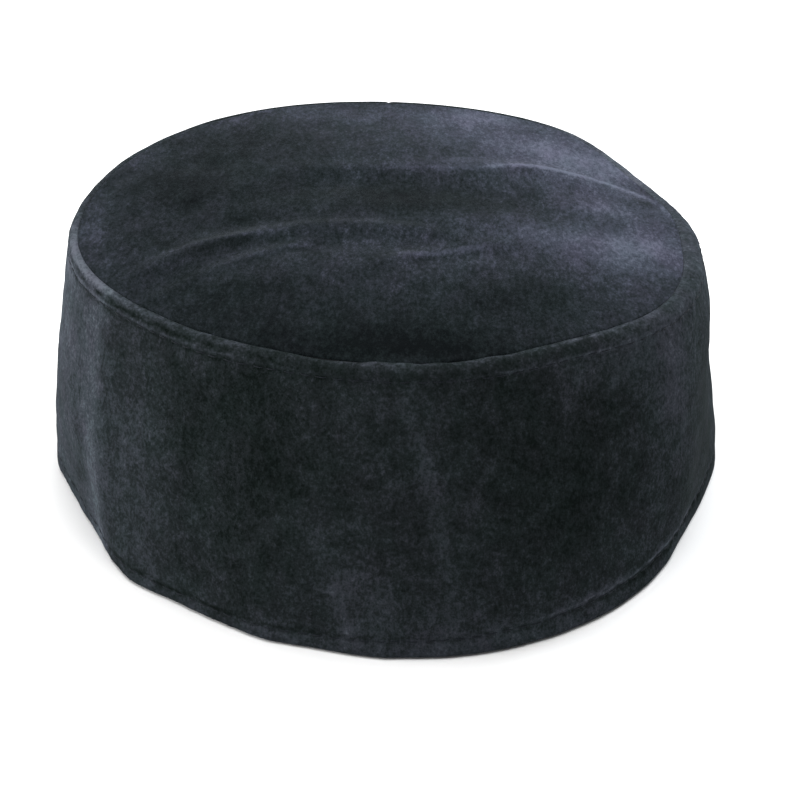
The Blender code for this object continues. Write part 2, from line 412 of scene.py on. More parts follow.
def stitch_draw(azimuth, row_radius, away, depth):
    """How far the cloth is drawn in at a distance from a stitch row. It is deepest between stitches."""
    along = row_travel(ROW_STATIONS, row_radius(ROW_STATIONS))
    pitch = along[-1] / int(along[-1] / STITCH_PITCH)
    between = (1 + STITCH_LENGTH / STITCH_PITCH) / 2
    phase = np.interp(azimuth % 360.0, np.append(ROW_STATIONS, 360.0), along) / pitch - between
    beat = 1 - VALLEY_BEAT + VALLEY_BEAT * np.cos(2 * math.pi * phase)
    return -depth * beat * bump(away, VALLEY_WIDTH)


def fine_wall(azimuth, height):
    """Radius of the cloth's outer face below the rolled edge, with its folds, ripples and stitch rows."""
    shoulder = seam_height(azimuth) - SHOULDER_DROP
    below_row = shoulder - height + ROLL_SIZE * math.radians(TOPSTITCH_ANGLE)
    above_hem = height - hem_row_height(azimuth)
    wall = wall_radius(azimuth, height) + fold_push(azimuth, height)
    here = placed(azimuth, wall, height)
    wall = wall + rippled(here, SIDE_RIPPLES)
    near_row = bump(below_row, PUCKER_REACH) + bump(above_hem, PUCKER_REACH)
    wall = wall + PUCKER * near_row * waves(here * (1, 1, 0.35), PUCKER_LENGTH, 13)
    wall = wall + HEM_SWELL * bump(height - HEM_SWELL_HEIGHT, HEM_SWELL_REACH)
    draw = stitch_draw(azimuth, hem_row_radius, above_hem, HEM_VALLEY)
    upper = stitch_draw(azimuth, top_row_radius, below_row, TOP_VALLEY)
    return wall + draw + np.where(below_row < TOP_VALLEY_REACH, upper, 0.0)


def rolled_edge(azimuth, turn):
    """Radius and height of the cloth round the rolled edge, turn radians from the side to the crest."""
    top = seam_height(azimuth)
    shoulder = top - SHOULDER_DROP
    row_turn = math.radians(TOPSTITCH_ANGLE)
    drawn = stitch_draw(azimuth, top_row_radius, ROLL_SIZE * row_turn, TOP_VALLEY)
    side = fine_wall(azimuth, shoulder) - drawn
    around = placed(azimuth, SEAM_RADIUS + 0 * azimuth, 0.0)
    lumps = rippled(around, WELT_LUMPS) * seam_show(azimuth)
    radius = mix(seam_radius(azimuth) + CREST_OUT, side, np.cos(turn))
    height = mix(shoulder, top + lumps, np.sin(turn))
    push = stitch_draw(azimuth, top_row_radius, (turn - row_turn) * ROLL_SIZE, TOP_VALLEY)
    wander = WELT_CREASE_WANDER * waves(around, WELT_CREASE_WAVE, 16)
    push = push + welt_crease(azimuth, np.degrees(turn) + wander)
    return radius + push * np.cos(turn), height + push * np.sin(turn)


def seam_show(azimuth):
    """How deep the seam lies: 1 at the front, less on the right and the left, and 0 at the back."""
    show = 0.5 - 0.5 * np.sin(np.radians(azimuth))
    for place in (RIGHT_SEAM, LEFT_SEAM):
        show = show * (1 - place.share * bump(turn_between(azimuth, place.azimuth), place.spread))
    return show


def seam_depth(azimuth):
    return mix(SEAM_DEPTH_BACK, SEAM_DEPTH_FRONT, seam_show(azimuth))


def rows_through(stops):
    """Row positions through (start, count) stops, the last stop having no count."""
    parts = []
    for (start, count), (end, _) in zip(stops, stops[1:]):
        share = np.arange(count) / count
        parts.append(mix(start, end, share))
    parts.append(stops[-1][0] + np.zeros_like(parts[0][..., :1]))
    return np.concatenate(parts, axis=-1)


def band_points():
    """Columns of the side band: up the outside, over the welt, down the inside and round the hem."""
    azimuth = (np.arange(COLUMNS) * 360.0 / COLUMNS)[:, None]
    top = seam_height(azimuth)
    shoulder = top - SHOULDER_DROP
    seam = seam_radius(azimuth)

    heights = rows_through([
        (FOOT_ROUND + 0 * top, 5),
        (hem_row_height(azimuth) - NEAR_STITCHES, 10),
        (hem_row_height(azimuth) + NEAR_STITCHES, 40),
        (shoulder - NEAR_SHOULDER, 5),
        (shoulder, 0),
    ])
    wall = fine_wall(azimuth, heights)

    turn = np.radians(np.linspace(90, 0, 6)[None, :-1])
    foot_radius = wall[:, :1] - FOOT_ROUND * (1 - np.cos(turn))
    foot_height = FOOT_ROUND * (1 - np.sin(turn)) + 0 * top

    turn = np.radians(np.linspace(0, 90, 27)[None, 1:])
    roll_radius, roll_height = rolled_edge(azimuth, turn)
    turn = np.radians(np.linspace(0, 90, 7)[None, 1:])
    dip_radius = mix(roll_radius[:, -1:], seam, np.sin(turn))
    dip_height = roll_height[:, -1:] - seam_depth(azimuth) * (1 - np.cos(turn))

    under_roll = wall_radius(azimuth, shoulder) - WALL
    inner = rows_through([(top - ALLOWANCE_DEPTH, 16), (HEM_DEPTH + HEM_FOLD_ABOVE + 0 * top, 0)])
    plain = wall_radius(azimuth, inner) - WALL - back_allowance(azimuth, inner)
    hem = np.array([HEM_DEPTH - HEM_FOLD_BELOW, *HEM_LEVELS])[None, :] + 0 * top
    hem_radius = wall_radius(azimuth, hem) - HEM_THICKNESS
    turn = np.radians(np.linspace(0, 90, 6)[None, :])
    heel_radius = wall_radius(azimuth, HEEL_ROUND + 0 * top) - HEM_THICKNESS + HEEL_ROUND * (1 - np.cos(turn))
    heel_height = HEEL_ROUND * (1 - np.sin(turn)) + 0 * top

    radii = np.concatenate(
        [foot_radius, wall, roll_radius, dip_radius, seam, mix(seam, under_roll, 0.5), under_roll,
         plain, hem_radius, heel_radius], axis=1)
    levels = np.concatenate(
        [foot_height, heights, roll_height, dip_height, top - BAND_SEAM_FOOT, top - BAND_SEAM_BEND,
         shoulder, inner, hem, heel_height], axis=1)
    outer_rows = foot_radius.shape[1] + wall.shape[1] + roll_radius.shape[1] + dip_radius.shape[1]
    groove = -BACK_GROOVE * bump(turn_between(azimuth, BACK_SEAM_AZIMUTH), BACK_GROOVE_WIDTH)
    outside = np.arange(radii.shape[1])[None, :] < outer_rows
    return azimuth, radii + np.where(outside, groove, 0.0), levels, outer_rows


def welt_crease(azimuth, turn):
    """A second soft crease along the welt, where the seam allowance ends under the cloth."""
    near = bump(turn_between(azimuth, WELT_CREASE_AZIMUTH), WELT_CREASE_SPREAD)
    return -WELT_CREASE * near * bump(turn - WELT_CREASE_ANGLE, WELT_CREASE_WIDTH)


def back_allowance(azimuth, height):
    """Thickness of the back seam's pressed allowance on the inside."""
    turn = np.abs(turn_between(azimuth, BACK_SEAM_AZIMUTH))
    flap = 0.5 - 0.5 * np.tanh((turn - BACK_FLAP_WIDTH) / BACK_FLAP_EDGE)
    notch = 1 - BACK_NOTCH * bump(turn, BACK_NOTCH_WIDTH)
    return BACK_FLAP * flap * notch * np.where(height > HEM_DEPTH, 1.0, 0.0)


def crease_height(x, y, creases):
    total = 0.0
    for crease in creases:
        along_x = crease.end_x - crease.start_x
        along_y = crease.end_y - crease.start_y
        length = math.hypot(along_x, along_y)
        from_x = x / MM - crease.start_x
        from_y = y / MM - crease.start_y
        share = (from_x * along_x + from_y * along_y) / length**2
        aside = (along_x * from_y - along_y * from_x) / length
        bow = 4 * crease.bend * share * (1 - share)
        beyond = np.maximum(0.0, np.maximum(-share, share - 1)) * length
        total = total + crease.height * bump(aside - bow, crease.width) * bump(beyond, crease.width * 2 + 2)
    return total * MM


def smooth_course(points):
    """Points along a smooth curve through the given ones."""
    knots = np.array(points, float)
    knots = np.vstack([2 * knots[0] - knots[1], knots, 2 * knots[-1] - knots[-2]])
    share = np.arange(COURSE_STEPS)[:, None] / COURSE_STEPS
    pieces = []
    for before, start, end, after in zip(knots, knots[1:], knots[2:], knots[3:]):
        bend = 2 * before - 5 * start + 4 * end - after
        twist = 3 * start - before - 3 * end + after
        pieces.append(start + 0.5 * ((end - before) * share + bend * share**2 + twist * share**3))
    return np.vstack([*pieces, knots[-2:-1]])


def beside_line(x, y, line):
    """Distance behind a pull line in millimetres, less than nothing before it, and its strength there."""
    course = smooth_course(line.points)
    step = np.diff(course, axis=0)
    length = np.linalg.norm(step, axis=1)
    travelled = np.concatenate([[0.0], np.cumsum(length)])
    nearest = np.full(x.shape, 1e9)
    aside = np.zeros(x.shape)
    strength = np.zeros(x.shape)
    for index in range(len(step)):
        from_x = x / MM - course[index, 0]
        from_y = y / MM - course[index, 1]
        share = np.clip((from_x * step[index, 0] + from_y * step[index, 1]) / length[index] ** 2, 0, 1)
        gap = np.hypot(from_x - share * step[index, 0], from_y - share * step[index, 1])
        side = np.sign(step[index, 0] * from_y - step[index, 1] * from_x)
        along = travelled[index] + share * length[index]
        fade = np.clip(along / line.fade_in, 0, 1) * np.clip((travelled[-1] - along) / line.fade_out, 0, 1)
        closer = gap < nearest
        nearest = np.where(closer, gap, nearest)
        aside = np.where(closer, gap * side, aside)
        strength = np.where(closer, fade, strength)
    return aside, strength


def pull_height(x, y):
    total = 0.0
    for line in PULL_LINES:
        aside, strength = beside_line(x, y, line)
        total = total + line.height * strength * bump(aside, line.width)
    return total * MM


def panel_height(azimuth, share):
    edge = seam_height(azimuth)
    radius = seam_radius(azimuth) * share
    angle = np.radians(azimuth)
    x = radius * np.cos(angle)
    y = radius * np.sin(angle)
    creases = crease_height(x, y, CREASES) + pull_height(x, y)
    base = mix(SEAM_HEIGHT, edge, share**2) + DOME * (1 - share**2)
    return base + creases * (1 - share**CALM_EDGE)


def crown_points():
    """Columns of the top panel: its upper side from near the middle out, down into the seam, the turned
    down allowance, and the under side back to near the middle."""
    azimuth = (np.arange(COLUMNS) * 360.0 / COLUMNS)[:, None]
    seam = seam_radius(azimuth)
    top = seam_height(azimuth)
    shoulder = top - SHOULDER_DROP

    flat_end = 1 - PANEL_EDGE / seam
    shares = flat_end * (np.arange(1, PANEL_ROWS + 1) / PANEL_ROWS)[None, :] ** PANEL_SPACING
    height = panel_height(azimuth, shares)
    here = placed(azimuth, seam * shares, height)
    calm = 1 - shares**RIPPLE_CALM
    height += calm * rippled(here, TOP_RIPPLES)
    radius = seam * shares
    rim_puckers = bump(seam - radius, PUCKERS_TO) * (1 - bump(seam - radius, PUCKERS_FROM))
    height += rim_puckers * rippled(here, SEAM_PUCKERS)

    turn = np.radians(np.linspace(0, 90, 7)[None, 1:])
    edge_radius = mix(seam - PANEL_EDGE, seam - 0.00005, np.sin(turn))
    edge_height = height[:, -1:] - seam_depth(azimuth) * (1 - np.cos(turn))

    under_roll = wall_radius(azimuth, shoulder) - WALL - SEWN_GAP
    ragged = rippled(placed(azimuth, SEAM_RADIUS, 0.0 * azimuth), RAGGED_EDGE)
    hidden_edge = top - ALLOWANCE_DEPTH + ragged
    hidden_radius = wall_radius(azimuth, hidden_edge) - WALL - SEWN_GAP - PANEL_STEP * back_flap(azimuth)
    under_shares = np.linspace(*UNDER_SHARES, UNDER_ROWS)[None, :]
    under_height = panel_height(azimuth, under_shares) - PANEL
    radii = np.concatenate(
        [radius, edge_radius, seam - SEWN_GAP, under_roll, hidden_radius,
         hidden_radius - ALLOWANCE_THICKNESS, under_roll - ALLOWANCE_THICKNESS,
         seam - SEWN_GAP - ALLOWANCE_THICKNESS, seam * under_shares], axis=1)
    levels = np.concatenate(
        [height, edge_height, top - PANEL_SEAM_FOOT, shoulder - SEWN_GAP, hidden_edge, hidden_edge,
         shoulder - SEWN_GAP, top - PANEL_SEAM_BEND, under_height], axis=1)
    outer_rows = radius.shape[1] + edge_radius.shape[1]
    return azimuth, radii, levels, outer_rows


def back_flap(azimuth):
    """Share of the way that the panel's allowance gives way to the back seam's, 1 at the seam."""
    turn = np.abs(turn_between(azimuth, BACK_SEAM_AZIMUTH))
    return 1 / (1 + np.exp((turn - PANEL_STEP_WIDTH) / PANEL_STEP_EDGE))


# Places where the pile's tone is made paler or darker: paler for a tone over 0. On the side a few are marks
# of crushed pile, such as the front streak and the pale lower front, and the rest are painted sheen and
# painted shade where the light falls on the cloth; on the top they are all painted sheen and painted shade.
# Places on the side are an azimuth in degrees and a height in millimetres, and places on the top are x and y
# in millimetres from its middle, all with half widths. lean moves a place on the side sideways, in degrees
# for each millimetre up.
SidePileAndPaintedLight = namedtuple("SidePileAndPaintedLight", "name azimuth height lean spread reach tone")
SIDE_PILE_AND_PAINTED_LIGHT = (
    SidePileAndPaintedLight("front streak", 277.4, 35, -0.09, 1.9, 19, 0.34),
    SidePileAndPaintedLight("head of the streak", 274, 60, 0.0, 2.2, 4, 0.26),
    SidePileAndPaintedLight("pale lower front", 268.5, 15, -0.45, 3.0, 12, 0.16),
    SidePileAndPaintedLight("pale left of the low front", 259, 26, 0.0, 2.2, 6, 0.10),
    SidePileAndPaintedLight("pale low front", 262.5, 16, -0.2, 2.2, 10, 0.40),
    SidePileAndPaintedLight("pale low left", 240, 30, -0.2, 4.0, 9, 0.06),
    SidePileAndPaintedLight("left of the front", 247, 36, 0.0, 9, 24, -0.30),
    SidePileAndPaintedLight("pale spot, low left", 241, 22, 0.0, 2.5, 5, 0.28),
    SidePileAndPaintedLight("dark, low left", 249, 8, 0.0, 4, 6, -0.14),
    SidePileAndPaintedLight("dark, left hem", 237, 12, 0.0, 2.5, 4, -0.20),
    SidePileAndPaintedLight("hem, left", 231, 4, 0.0, 4, 4, 0.16),
    SidePileAndPaintedLight("dark by the left corner", 236, 42, -0.1, 3.5, 12, -0.26),
    SidePileAndPaintedLight("left corner crest", 215.8, 0, -0.07, 3.4, 62, 0.36),
    SidePileAndPaintedLight("left edge", 192, 50, 0.0, 12, 14, 0.24),
    SidePileAndPaintedLight("left strip", 208, 22, -0.12, 2.4, 12, -0.20),
    SidePileAndPaintedLight("left shoulder", 195, 64, 0.0, 10, 5, 0.34),
    SidePileAndPaintedLight("dark right front", 300, 34, 0.0, 12, 20, -0.24),
    SidePileAndPaintedLight("left of the streak", 253, 50, 0.0, 2.5, 6, -0.24),
    SidePileAndPaintedLight("under the seam, left", 243, 58, 0.0, 5, 8, -0.14),
    SidePileAndPaintedLight("dark beside the streak", 290, 46, 0.0, 5, 10, -0.16),
    SidePileAndPaintedLight("right under the seam", 314, 60, 0.0, 13, 6, 0.32),
    SidePileAndPaintedLight("right strip", 324, 30, 0.0, 5, 24, 0.20),
    SidePileAndPaintedLight("right upper side", 321, 50, 0.0, 7, 11, 0.34),
    SidePileAndPaintedLight("low right", 304, 12, 0.0, 6, 12, 0.22),
    SidePileAndPaintedLight("low right of the front", 284, 8, 0.0, 6, 10, 0.14),
    SidePileAndPaintedLight("pale right of the streak", 282, 30, 0.0, 3, 10, 0.16),
    SidePileAndPaintedLight("low front", 270, 27, 0.0, 4, 8, -0.16),
    SidePileAndPaintedLight("hem, front", 272, 2, 0.0, 22, 4.5, 0.24),
    SidePileAndPaintedLight("hem, front left", 252, 2, 0.0, 5, 4, 0.16),
    SidePileAndPaintedLight("right edge", 338, 18, 0.0, 8, 18, -0.30),
    SidePileAndPaintedLight("right edge, high", 346, 52, 0.0, 7, 8, 0.26),
    SidePileAndPaintedLight("right edge, low", 327, 14, 0.0, 6, 12, -0.14),
    SidePileAndPaintedLight("right shoulder", 5, 65, 0.0, 36, 6, 0.50),
    SidePileAndPaintedLight("rear right edge", 24, 65, 0.0, 12, 5, 0.40),
    SidePileAndPaintedLight("rear right shoulder", 42, 65, 0.0, 20, 5, 0.45),
    SidePileAndPaintedLight("hem, right front", 296, 1, 0.0, 24, 4, 0.14),
)

# Painted sheen in steps along soft upright folds: paler on the side of smaller azimuths. lean moves a step in
# degrees for each millimetre up.
PaintedSheenStep = namedtuple("PaintedSheenStep", "name azimuth lean soft tone")
PAINTED_SHEEN_STEPS = (
    PaintedSheenStep("left strip", 219.2, -0.075, 0.9, 0.26),
    PaintedSheenStep("beside the left strip", 240.0, -0.32, 3.0, 0.16),
)
PAINTED_SHEEN_STEPS_FROM = 176.0
PAINTED_SHEEN_STEPS_FADE = 6.0

# Painted highlights and painted shade along the welt, down millimetres of cloth below its crest, and along
# the
# hem, up millimetres above its stitch row: pale on crests and raised lines, dark in creases and beside stitch
# rows
EdgePaintedLight = namedtuple("EdgePaintedLight", "name azimuth spread place width tone")
WELT_PAINTED_LIGHT = (
    EdgePaintedLight("left crest", 210, 26, 0.5, 1.0, 0.42),
    EdgePaintedLight("front crest", 256, 20, 0.3, 0.6, 0.10),
    EdgePaintedLight("bright front crest", 271, 5, 0.9, 1.3, 0.38),
    EdgePaintedLight("right front crest", 303, 18, 0.2, 0.6, 0.34),
    EdgePaintedLight("left crease", 212, 30, 2.35, 0.6, -0.50),
    EdgePaintedLight("ridge under the left crease", 230, 26, 3.5, 0.6, 0.30),
    EdgePaintedLight("left stitch line", 210, 34, 4.65, 0.6, -0.36),
    EdgePaintedLight("right stitch line", 300, 22, 4.4, 0.7, 0.40),
    EdgePaintedLight("rear left crest", 150, 14, 0.6, 1.6, 0.40),
)
HEM_PAINTED_LIGHT = (
    EdgePaintedLight("shade on the left", 238, 34, 0.7, 0.6, -0.40),
    EdgePaintedLight("highlight on the right", 318, 26, 1.0, 0.8, 0.62),
    EdgePaintedLight("shade under the right highlight", 318, 26, -0.5, 0.5, -0.35),
)

# Painted sheen and painted shade on the top panel: pale where the sheen falls, dark before the ridges, in
# hollows and at the front
TopPaintedLight = namedtuple("TopPaintedLight", "name x y spread_x spread_y tone")
TOP_PAINTED_LIGHT = (
    TopPaintedLight("right sheen", 61, -19, 16, 17, 0.74),
    TopPaintedLight("rear right sheen", 52, 34, 24, 20, 0.86),
    TopPaintedLight("right of the ridge", 59, 4, 15, 6, 0.46),
    TopPaintedLight("under the ridge", 60, 14, 10, 4, 0.22),
    TopPaintedLight("behind the ridge", 28, 44, 22, 10, 0.38),
    TopPaintedLight("rear middle sheen", 18, 62, 28, 12, 0.64),
    TopPaintedLight("rear right edge", 38, 67, 16, 6, 0.30),
    TopPaintedLight("rear edge", -34, 66, 24, 9, 0.34),
    TopPaintedLight("rear left edge", -67, 30, 8, 8, 0.46),
    TopPaintedLight("left edge", -73, -8, 4, 14, 0.45),
    TopPaintedLight("left hollow", -57, -19, 6, 5, -0.36),
    TopPaintedLight("left of the middle", -31, -7, 10, 5, -0.26),
    TopPaintedLight("front, dark", -8, -66, 40, 14, -0.72),
    TopPaintedLight("front right, dark", 23, -67, 14, 6, -0.34),
    TopPaintedLight("front edge", 6, -73, 11, 2.5, 0.30),
    TopPaintedLight("left front, dark", -38, -44, 20, 12, -0.38),
    TopPaintedLight("left, dark", -50, 14, 22, 20, -0.50),
    TopPaintedLight("rear left, dark", -28, 40, 24, 12, -0.26),
    TopPaintedLight("before the rear ridge", 3, 6, 22, 10, -0.56),
    TopPaintedLight("before the ridge, right", 30, 2, 12, 5, -0.14),
    TopPaintedLight("along the ridge", 16, 27, 26, 5, 0.24),
    TopPaintedLight("front right", 28, -46, 24, 9, -0.34),
    TopPaintedLight("before the middle line", 22, -30, 14, 6, 0.18),
    TopPaintedLight("middle right", 39, -14, 20, 11, 0.48),
)
# Painted shade on the top panel just inside its seam, in metres from the seam
SEAM_SHADE = 0.08
SEAM_SHADE_PLACE = 0.0005
SEAM_SHADE_WIDTH = 0.0009

# Tone of the pile where no place of the tables is near. The top and the side are one cloth; their tones
# differ to match how each is lit, which is painted light
TOP_LIGHTNESS = 0.88
SIDE_LIGHTNESS = 0.93


# How unevenly the painted light along the edges breaks up: its breaks, and how far the places wander in
# metres
EDGE_BREAKS = (Ripple(0.40, 0.0040, 31), Ripple(0.35, 0.0016, 32))
EDGE_WANDER = Ripple(0.00022, 0.0070, 33)


def edge_painted_light(azimuth, place_along, table):
    """Painted highlight and shade of the places in a table of edges, at distances in metres from the edge."""
    around = placed(azimuth, SEAM_RADIUS + 0 * place_along, 4 * place_along)
    broken = 1 + rippled(around, EDGE_BREAKS)
    place_along = place_along + rippled(around, (EDGE_WANDER,))
    total = 0.0
    for place in table:
        near = bump(turn_between(azimuth, place.azimuth), place.spread)
        total = total + place.tone * near * bump(place_along / MM - place.place, place.width)
    return total * broken


def down_from_crest(radii, levels):
    """Distance down the outer cloth from the welt's crest, less than nothing on its inner side."""
    step = np.hypot(np.diff(radii, axis=1), np.diff(levels, axis=1))
    travelled = np.concatenate([np.zeros_like(step[:, :1]), np.cumsum(step, axis=1)], axis=1)
    crest = np.argmax(levels, axis=1)[:, None]
    return np.take_along_axis(travelled, crest, axis=1) - travelled


# Tone of the side: pile marks, with painted sheen and painted shade on the welt, hem, folds and edges
def side_pile_and_painted_light(azimuth, radii, levels):
    total = edge_painted_light(azimuth, down_from_crest(radii, levels), WELT_PAINTED_LIGHT)
    total = total + edge_painted_light(azimuth, levels - hem_row_height(azimuth), HEM_PAINTED_LIGHT)
    height = levels / MM
    for place in SIDE_PILE_AND_PAINTED_LIGHT:
        centre = place.azimuth + place.lean * (height - place.height)
        near = bump(turn_between(azimuth, centre), place.spread)
        total = total + place.tone * near * bump(height - place.height, place.reach)
    fade = 1 / (1 + np.exp((PAINTED_SHEEN_STEPS_FROM - azimuth) / PAINTED_SHEEN_STEPS_FADE))
    for step in PAINTED_SHEEN_STEPS:
        beside = step.azimuth + step.lean * height - azimuth
        total = total + step.tone * fade / (1 + np.exp(-beside / step.soft))
    return total


# Tone of the top: painted highlights on its crests, painted shade before them and inside the seam, and
# patches of painted sheen and shade
def top_painted_light(azimuth, radii, levels):
    angle = np.radians(azimuth)
    x = radii * np.cos(angle)
    y = radii * np.sin(angle)
    seam_line = seam_radius(azimuth) - radii
    total = 0.0
    for line in PULL_LINES:
        aside, strength = beside_line(x, y, line)
        total = total + line.pale * strength * bump(aside, line.width)
        total = total - line.shade * strength * bump(aside + SHADE_AHEAD, SHADE_AHEAD)
    total = total - SEAM_SHADE * seam_show(azimuth) * bump(seam_line - SEAM_SHADE_PLACE, SEAM_SHADE_WIDTH)
    for place in TOP_PAINTED_LIGHT:
        near = ((x / MM - place.x) / place.spread_x) ** 2 + ((y / MM - place.y) / place.spread_y) ** 2
        total = total + place.tone * np.exp(-near)
    return total


def cloth_mesh(name, points, ends, materials, pile_and_painted_light):
    """A mesh from columns of points. Columns are closed loops, or open ones that end in two middle points
    at the heights given by ends."""
    azimuth, radii, levels, outer_rows = points
    closed_rows = ends is None
    columns, rows = radii.shape
    places = placed(azimuth, radii, levels).reshape(-1, 3)
    column, row = np.meshgrid(np.arange(columns), np.arange(rows if closed_rows else rows - 1), indexing="ij")
    after = (column + 1) % columns
    above = (row + 1) % rows
    corners = ((column, row), (after, row), (after, above), (column, above))
    quads = np.stack([across * rows + up for across, up in corners], axis=-1)
    if not closed_rows:
        quads = quads[..., ::-1]
    faces = [tuple(quad) for quad in quads.reshape(-1, 4).tolist()]
    slots = (row.reshape(-1) >= outer_rows - 1).astype(int).tolist()
    places = places.tolist()
    if not closed_rows:
        for height, ring, flip, slot in ((ends[0], 0, True, 0), (ends[1], rows - 1, False, 1)):
            middle = len(places)
            places.append([CAP_CENTRE[0], CAP_CENTRE[1], height])
            for index in range(columns):
                pair = (index * rows + ring, ((index + 1) % columns) * rows + ring)
                faces.append((middle, *pair) if flip else (middle, *reversed(pair)))
                slots.append(slot)
    data = bpy.data.meshes.new(name)
    data.from_pydata(places, [], faces)
    data.update()
    for material in materials:
        data.materials.append(material)
    data.polygons.foreach_set("material_index", slots)
    # Per-point tone: marks of crushed pile, with painted sheen and painted shade
    tone = pile_and_painted_light(azimuth, radii, levels).reshape(-1)
    tone = np.concatenate([tone, np.zeros(len(places) - len(tone))])
    if not closed_rows:
        tone[-2:] = tone[0]
    store = data.attributes.new("pile_and_painted_light", "FLOAT", "POINT")
    store.data.foreach_set("value", tone.astype(np.float32))
    data.shade_smooth()
    piece = bpy.data.objects.new(name, data)
    bpy.context.scene.collection.objects.link(piece)
    return piece


def stitch_row(name, row_radius, cloth_place, material):
    """Thread stitches along a row on the cloth, each one a small curved tube."""
    travelled = row_travel(ROW_STATIONS, row_radius(ROW_STATIONS))
    count = int(travelled[-1] / STITCH_PITCH)
    pitch = travelled[-1] / count
    chance = np.random.default_rng(5)
    along_count, round_count = 9, 7
    places = []
    faces = []
    for index in range(count):
        start = (index + STITCH_STRAY * chance.uniform(-1, 1)) * pitch
        length = STITCH_LENGTH * chance.uniform(SHORTEST_STITCH, LONGEST_STITCH)
        shares = np.linspace(0, 1, along_count)
        where = (start + shares * length) % travelled[-1]
        azimuth = np.interp(where, travelled, np.append(ROW_STATIONS, 360.0))
        spine = placed(azimuth, *cloth_place(azimuth))
        out = spine - np.array([CAP_CENTRE[0], CAP_CENTRE[1], 0.0])
        out[:, 2] = 0.0
        out /= np.linalg.norm(out, axis=1)[:, None]
        dive = THREAD_DIVE * (np.abs(2 * shares - 1) ** 6)
        lift = THREAD_LIFT * np.sin(math.pi * shares) ** 0.6 - dive
        spine = spine + out * lift[:, None]
        spine[:, 2] += STITCH_TILT * chance.uniform(-1, 1) * (2 * shares - 1)
        up = np.array([0.0, 0.0, 1.0])
        fullness = np.sin(math.pi * np.clip(shares, 0.02, 0.98)) ** 0.5
        thick = THREAD_RADIUS * (1 - THREAD_TAPER + THREAD_TAPER * fullness)
        base = len(places)
        for ring in range(along_count):
            for corner in range(round_count):
                turn = 2 * math.pi * corner / round_count
                places.append(spine[ring] + thick[ring] * (math.cos(turn) * out[ring] + math.sin(turn) * up))
        for ring in range(along_count - 1):
            for corner in range(round_count):
                other = (corner + 1) % round_count
                a = base + ring * round_count
                faces.append((a + corner, a + other, a + round_count + other, a + round_count + corner))
        faces.append(tuple(base + corner for corner in reversed(range(round_count))))
        faces.append(tuple(base + (along_count - 1) * round_count + corner for corner in range(round_count)))
    data = bpy.data.meshes.new(name)
    data.from_pydata([tuple(place) for place in places], [], faces)
    data.update()
    data.materials.append(material)
    data.shade_smooth()
    piece = bpy.data.objects.new(name, data)
    bpy.context.scene.collection.objects.link(piece)
    return piece


def top_row_place(azimuth):
    return rolled_edge(azimuth, math.radians(TOPSTITCH_ANGLE))


def hem_row_place(azimuth):
    level = hem_row_height(azimuth)
    return fine_wall(azimuth, level), level


class Graph:
    """Short calls for building one material's nodes."""

    def __init__(self, name, stretch=(1.0, 1.0, 1.0)):
        self.material = bpy.data.materials.new(name)
        self.material.use_nodes = True
        self.tree = self.material.node_tree
        self.shader = self.tree.nodes["Principled BSDF"]
        place = self.tree.nodes.new("ShaderNodeMapping")
        place.inputs["Scale"].default_value = stretch
        self.link(self.tree.nodes.new("ShaderNodeTexCoord").outputs["Object"], place.inputs["Vector"])
        self.coordinates = place.outputs["Vector"]

    def link(self, source, target):
        self.tree.links.new(source, target)

    def noise(self, scale, detail, roughness):
        node = self.tree.nodes.new("ShaderNodeTexNoise")
        node.inputs["Scale"].default_value = scale
        node.inputs["Detail"].default_value = detail
        node.inputs["Roughness"].default_value = roughness
        self.link(self.coordinates, node.inputs["Vector"])
        return node.outputs["Fac"]

    def attribute(self, name):
        node = self.tree.nodes.new("ShaderNodeAttribute")
        node.attribute_name = name
        return node.outputs["Fac"]

    def math(self, kind, first, second):
        node = self.tree.nodes.new("ShaderNodeMath")
        node.operation = kind
        for socket, value in zip(node.inputs, (first, second)):
            if isinstance(value, (int, float)):
                socket.default_value = value
            else:
                self.link(value, socket)
        return node.outputs[0]

    def scaled(self, source, amount, centre=0.5):
        """The source less its centre, times amount."""
        return self.math("MULTIPLY", self.math("SUBTRACT", source, centre), amount)

    def ramp(self, source, stops):
        node = self.tree.nodes.new("ShaderNodeValToRGB")
        elements = node.color_ramp.elements
        while len(elements) < len(stops):
            elements.new(1.0)
        for element, (position, colour) in zip(elements, stops):
            element.position = position
            element.color = (*colour, 1.0)
        self.link(source, node.inputs["Fac"])
        return node.outputs["Color"]

    def multiplied(self, first, second):
        node = self.tree.nodes.new("ShaderNodeVectorMath")
        node.operation = "MULTIPLY"
        self.link(first, node.inputs[0])
        self.link(second, node.inputs[1])
        return node.outputs["Vector"]

    def bump(self, source, strength, distance, normal=None):
        node = self.tree.nodes.new("ShaderNodeBump")
        node.inputs["Strength"].default_value = strength
        node.inputs["Distance"].default_value = distance
        self.link(source, node.inputs["Height"])
        if normal is not None:
            self.link(normal, node.inputs["Normal"])
        return node.outputs["Normal"]

    def set(self, **values):
        for name, value in values.items():
            self.shader.inputs[name.replace("_", " ")].default_value = value


# How much calmer the pile looks where it is pale, and the two ends of its slight drift of hue
PALE_CALM = 0.35
COOL = (0.965, 1.02, 0.995)
WARM = (1.035, 0.98, 1.02)

# Colours of the pile by its tone, from darkest to palest: the pale blue grey end is painted sheen
PILE_AND_PAINTED_SHEEN_COLOURS = (
    (0.0, (0.0026, 0.0038, 0.0038)),
    (0.25, (0.0068, 0.0098, 0.0096)),
    (0.5, (0.0162, 0.0204, 0.0230)),
    (0.75, (0.0386, 0.0449, 0.0567)),
    (1.0, (0.0878, 0.1006, 0.1243)),
)


